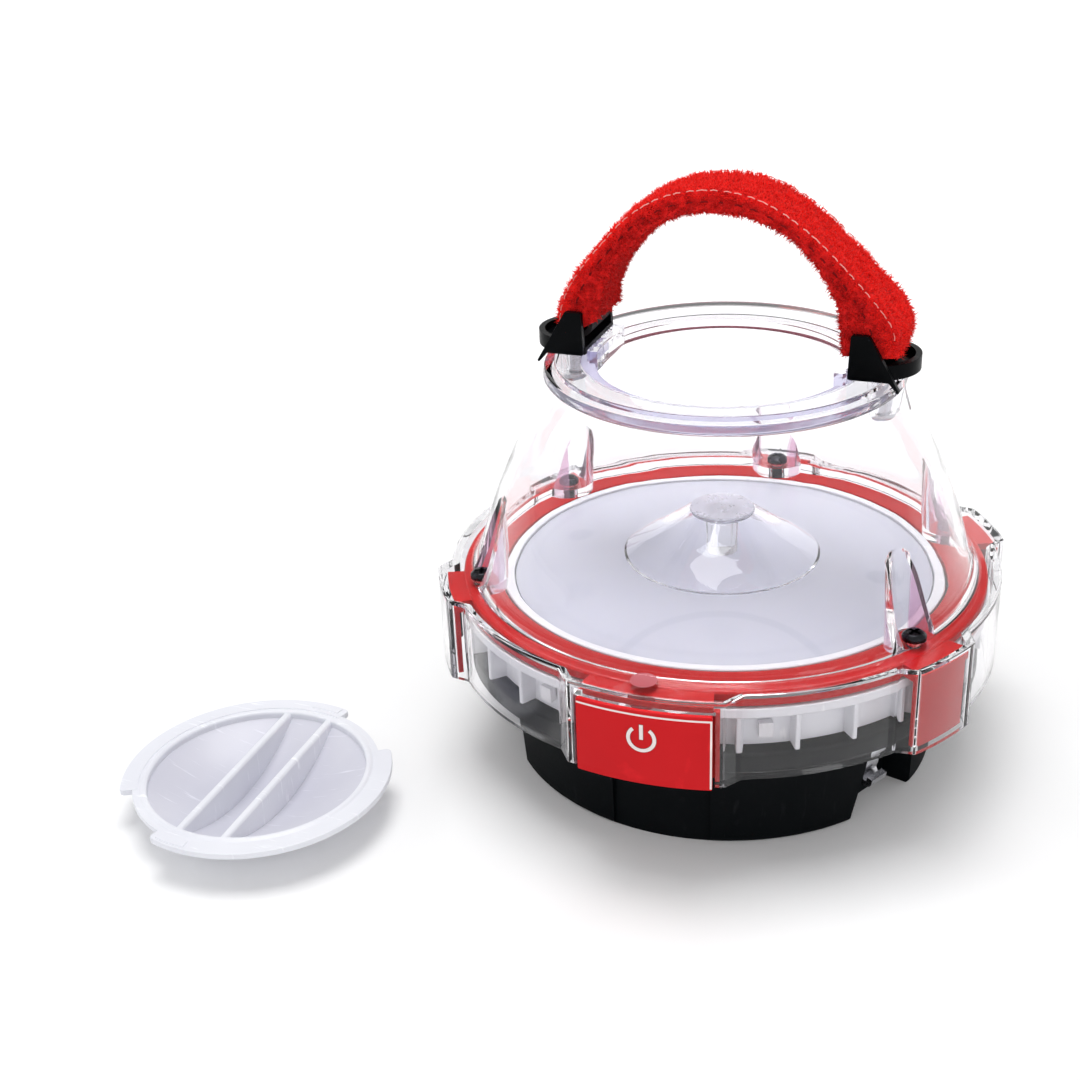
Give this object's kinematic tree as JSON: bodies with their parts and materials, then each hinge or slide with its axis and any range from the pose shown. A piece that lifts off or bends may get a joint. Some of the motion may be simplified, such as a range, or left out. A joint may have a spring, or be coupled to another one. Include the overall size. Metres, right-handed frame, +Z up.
{
  "type": "led safety flare",
  "caption": "Lantern-like LED safety flare: clear dome with a lobed skirt on a black base, padded strap handle on clips, red button, and a loose white reflector cap.",
  "frame": {"origin": "bottom centre of the box round the lantern and the cap that lies beside it, on the table they stand on", "axes": "+Z up, -Y towards the power button's side, +X along the handle's span, from the cap's side to the lantern's"},
  "size_m": [0.2038, 0.1818, 0.1473],
  "materials": {
    "clear_plastic": "clear polycarbonate, glossy",
    "clear_lens": "clear, polished",
    "frosted_plastic": "frosted, translucent",
    "white_plastic": "white, satin",
    "cap_white": "white, glossy",
    "red_plastic": "red, satin",
    "button_red": "red, satin",
    "black_plastic": "black, fine texture",
    "white_board": "white solder mask",
    "green_board": "green solder mask",
    "emitter": "phosphor on a star board",
    "red_lens": "red emitter",
    "seal_rubber": "black rubber",
    "steel": "plated steel",
    "black_screw": "black oxide steel",
    "cell_can": "plain dark cell sleeve, no print",
    "lead_red_jacket": "wire insulation",
    "lead_black_jacket": "wire insulation",
    "red_plush": "red plush pile",
    "black_webbing": "black woven tape"
  },
  "bodies": {
    "lantern": {"clear_housing": "clear_plastic", "red_trim_ring": "red_plastic", "baffle_ring": "white_plastic", "bezel_ring": "white_plastic", "diffuser_disc": "frosted_plastic", "cone_lens": "clear_lens", "led_board": "white_board", "dome_led": "emitter", "led_deck": "white_plastic", "flare_led_1": "red_lens", "flare_led_2": "red_lens", "flare_led_3": "red_lens", "flare_led_4": "red_lens", "flare_led_5": "red_lens", "flare_led_6": "red_lens", "driver_board": "green_board", "tact_switch": "steel", "switch_board": "green_board", "base_shell": "black_plastic", "base_gasket": "seal_rubber", "battery_door": "black_plastic", "door_screw": "steel", "hook_pin": "steel", "cell_tray": "black_plastic", "battery_cell_1": "cell_can", "battery_cell_2": "cell_can", "battery_cell_3": "cell_can", "battery_cell_4": "cell_can", "cell_spring_1": "steel", "cell_spring_2": "steel", "cell_spring_3": "steel", "cell_spring_4": "steel", "contact_plate_front": "steel", "contact_plate_rear": "steel", "lead_red": "lead_red_jacket", "lead_black": "lead_black_jacket", "housing_screw_1": "black_screw", "housing_screw_2": "black_screw", "housing_screw_3": "black_screw", "housing_screw_4": "black_screw", "housing_screw_5": "black_screw", "handle_clip_left": "black_plastic", "handle_clip_right": "black_plastic", "clip_screw_left": "steel", "clip_screw_right": "steel", "strap_pin_left": "steel", "strap_pin_right": "steel", "plush_sleeve": "red_plush", "webbing_core": "black_webbing"},
    "button": {"power_button": "button_red"},
    "plunger": {"switch_plunger": "black_plastic"},
    "hook": {"hang_hook": "steel"},
    "reflector": {"reflector_cap": "cap_white"}
  },
  "joints": [
    {"name": "power_button_press", "type": "slide", "parent": "lantern", "child": "button", "axis": [0, 1, 0], "range_m": [0, 0.0008], "stiffness_N_per_m": 900, "springref_m": -0.001},
    {"name": "switch_plunger_press", "type": "slide", "parent": "lantern", "child": "plunger", "axis": [0, 1, 0], "range_m": [0, 0.0008]},
    {"name": "hang_hook_fold", "type": "hinge", "parent": "lantern", "child": "hook", "pos_m": [0.07756, -0.00662, 0.0166], "axis": [-0.4695, -0.8829, 0], "range_deg": [0, 100]},
    {"name": "reflector_lift", "type": "slide", "parent": "lantern", "child": "reflector", "axis": [0, 0, 1], "range_m": [0, 0.12]}
  ],
  "couplings": [
    {"joint": "switch_plunger_press", "follows": "power_button_press", "ratio": 1}
  ]
}
